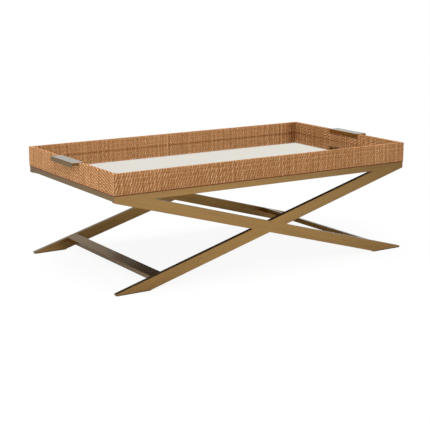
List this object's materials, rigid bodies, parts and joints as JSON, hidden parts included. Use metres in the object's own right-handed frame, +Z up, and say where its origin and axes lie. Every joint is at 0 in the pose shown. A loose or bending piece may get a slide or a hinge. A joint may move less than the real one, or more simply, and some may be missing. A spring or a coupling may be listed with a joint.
{
  "type": "tray coffee table",
  "caption": "Rectangular coffee table: a woven tray with a mirror floor and two bent plate handles lifts off a crossed-leg base of brass-finished rectangular tube.",
  "frame": {"origin": "on the floor under the middle of the table", "axes": "+X along the table's length to the right as seen from the front, +Y to the back, +Z up"},
  "size_m": [1.43, 0.762, 0.457],
  "materials": {
    "brass": "antique brass, satin brushed",
    "woven_raffia": "natural woven raffia, fine irregular strands, lacquered",
    "mirror": "plain silvered glass",
    "wood": "plain unpolished board, stained brown",
    "glide": "dark matt plastic",
    "felt": "dark brown felt"
  },
  "bodies": {
    "base": {"front_top_rail": "brass", "rear_top_rail": "brass", "left_end_rail": "brass", "right_end_rail": "brass", "front_left_rail_cap": "brass", "front_right_rail_cap": "brass", "rear_left_rail_cap": "brass", "rear_right_rail_cap": "brass", "front_leg_whole": "brass", "front_leg_upper_half": "brass", "front_leg_lower_half": "brass", "rear_leg_whole": "brass", "rear_leg_upper_half": "brass", "rear_leg_lower_half": "brass", "left_stretcher": "brass", "right_stretcher": "brass", "front_left_foot_glide": "glide", "front_right_foot_glide": "glide", "rear_left_foot_glide": "glide", "rear_right_foot_glide": "glide"},
    "tray": {"front_wall_board": "wood", "rear_wall_board": "wood", "left_wall_board": "wood", "right_wall_board": "wood", "front_left_lower_dowel": "wood", "front_left_upper_dowel": "wood", "front_right_lower_dowel": "wood", "front_right_upper_dowel": "wood", "rear_left_lower_dowel": "wood", "rear_left_upper_dowel": "wood", "rear_right_lower_dowel": "wood", "rear_right_upper_dowel": "wood", "tray_bottom_panel": "wood", "mirror_panel": "mirror", "front_woven_wrap": "woven_raffia", "rear_woven_wrap": "woven_raffia", "left_woven_wrap": "woven_raffia", "right_woven_wrap": "woven_raffia", "left_handle": "brass", "right_handle": "brass", "left_handle_screw_1": "brass", "left_handle_screw_2": "brass", "left_handle_screw_3": "brass", "right_handle_screw_1": "brass", "right_handle_screw_2": "brass", "right_handle_screw_3": "brass", "front_left_wall_pad": "felt", "front_right_wall_pad": "felt", "rear_left_wall_pad": "felt", "rear_right_wall_pad": "felt", "front_left_end_pad": "felt", "front_right_end_pad": "felt", "rear_left_end_pad": "felt", "rear_right_end_pad": "felt"}
  },
  "joints": [
    {"name": "tray_lift", "type": "slide", "parent": "base", "child": "tray", "axis": [0, 0, 1], "range_m": [0, 0.2]}
  ]
}
